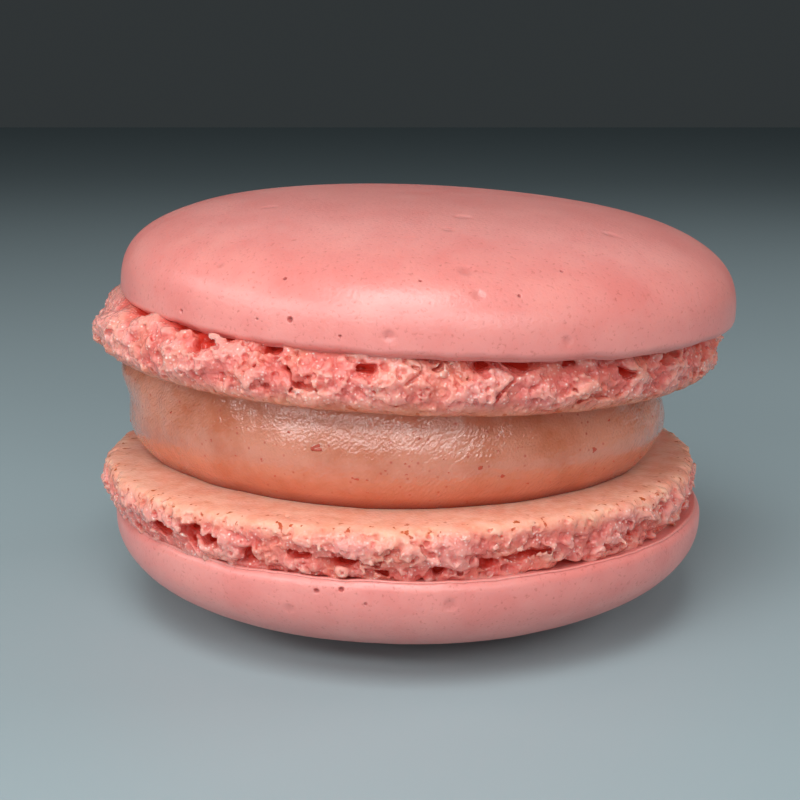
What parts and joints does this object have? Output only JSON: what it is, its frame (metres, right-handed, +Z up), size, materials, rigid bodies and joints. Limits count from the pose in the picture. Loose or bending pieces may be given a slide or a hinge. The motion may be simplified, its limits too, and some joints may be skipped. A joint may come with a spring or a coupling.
{
  "type": "french macaron",
  "caption": "Round sandwich biscuit of smooth domed almond meringue shells with torn frothy feet, held together by a thick layer of buttercream.",
  "frame": {"origin": "middle of the bounding box, on the surface that the lower shell lies on", "axes": "+Z up through the stack, -Y the front, where the feet show their torn holes, +X the side that the upper shell leans down to"},
  "size_m": [0.0454, 0.0438, 0.0291],
  "materials": {
    "shell": "baked meringue: satin on the domed caps, torn and frothy on the feet, matt and peach coloured on the flat bases",
    "cream": "smooth buttercream with a soft greasy shine"
  },
  "bodies": {
    "root": {"lower_shell": "shell", "buttercream": "cream", "upper_shell": "shell"}
  },
  "joints": []
}
